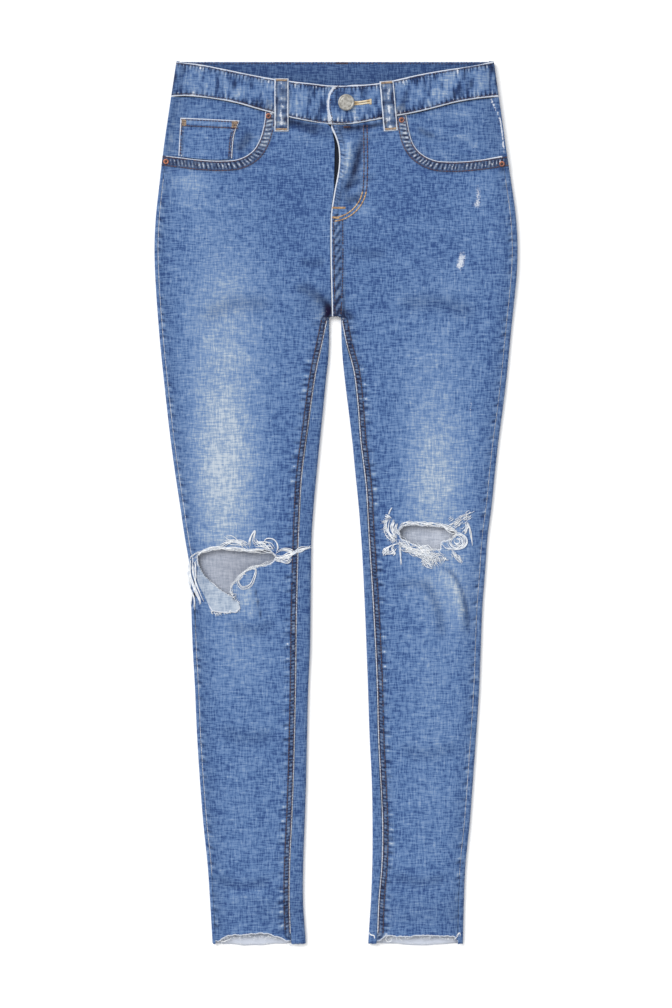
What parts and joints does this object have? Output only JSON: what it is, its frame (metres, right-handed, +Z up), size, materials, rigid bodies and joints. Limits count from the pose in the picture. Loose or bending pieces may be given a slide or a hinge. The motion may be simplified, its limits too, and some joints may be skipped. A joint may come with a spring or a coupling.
{
  "type": "ripped jeans",
  "caption": "Skinny faded denim jeans with torn knees, frayed raw hems, front pockets, fly and metal button, laid flat on the back.",
  "frame": {"origin": "centre of the bounding box in plan, at the underside that rests on the surface", "axes": "+Y along the legs from the hems to the waist, +Z up through the laid cloth, +X to the wearer's left"},
  "size_m": [0.3915, 0.9538, 0.0126],
  "materials": {
    "denim": "mid-blue twill with crosshatch slubs, faded pale down the thighs and knees, abraded white at the seams",
    "denim_inside": "pale weft side of the twill",
    "frayed_thread": "loose white weft threads",
    "zip_tape": "plain woven tape",
    "sewing_thread": "matt topstitching in rust, brown and tan",
    "button_metal": "antique grey metal, worn matt",
    "rivet_copper": "aged copper with a dark rim"
  },
  "bodies": {
    "root": {"back_right": "denim", "yoke_right": "denim", "back_pocket_right": "denim", "front_right": "denim", "pocket_facing_right": "denim", "back_left": "denim", "yoke_left": "denim", "back_pocket_left": "denim", "front_left": "denim", "pocket_facing_left": "denim", "coin_pocket": "denim", "waistband_back": "denim", "waistband_front_left": "denim", "waistband_front_right": "denim", "fly_shield": "denim", "belt_loop_front_right": "denim", "belt_loop_front_left": "denim", "belt_loop_back_right": "denim", "belt_loop_back_centre": "denim", "belt_loop_back_left": "denim", "knee_flap_right": "denim_inside", "knee_fringe_right": "frayed_thread", "knee_tassel_right": "frayed_thread", "knee_fringe_left": "frayed_thread", "knee_tuft_left": "frayed_thread", "hem_fringe_right": "frayed_thread", "hem_fringe_left": "frayed_thread", "zip": "zip_tape", "button": "button_metal", "rivet_right_inner": "rivet_copper", "rivet_right_outer": "rivet_copper", "rivet_left_inner": "rivet_copper", "rivet_left_outer": "rivet_copper"}
  },
  "joints": []
}
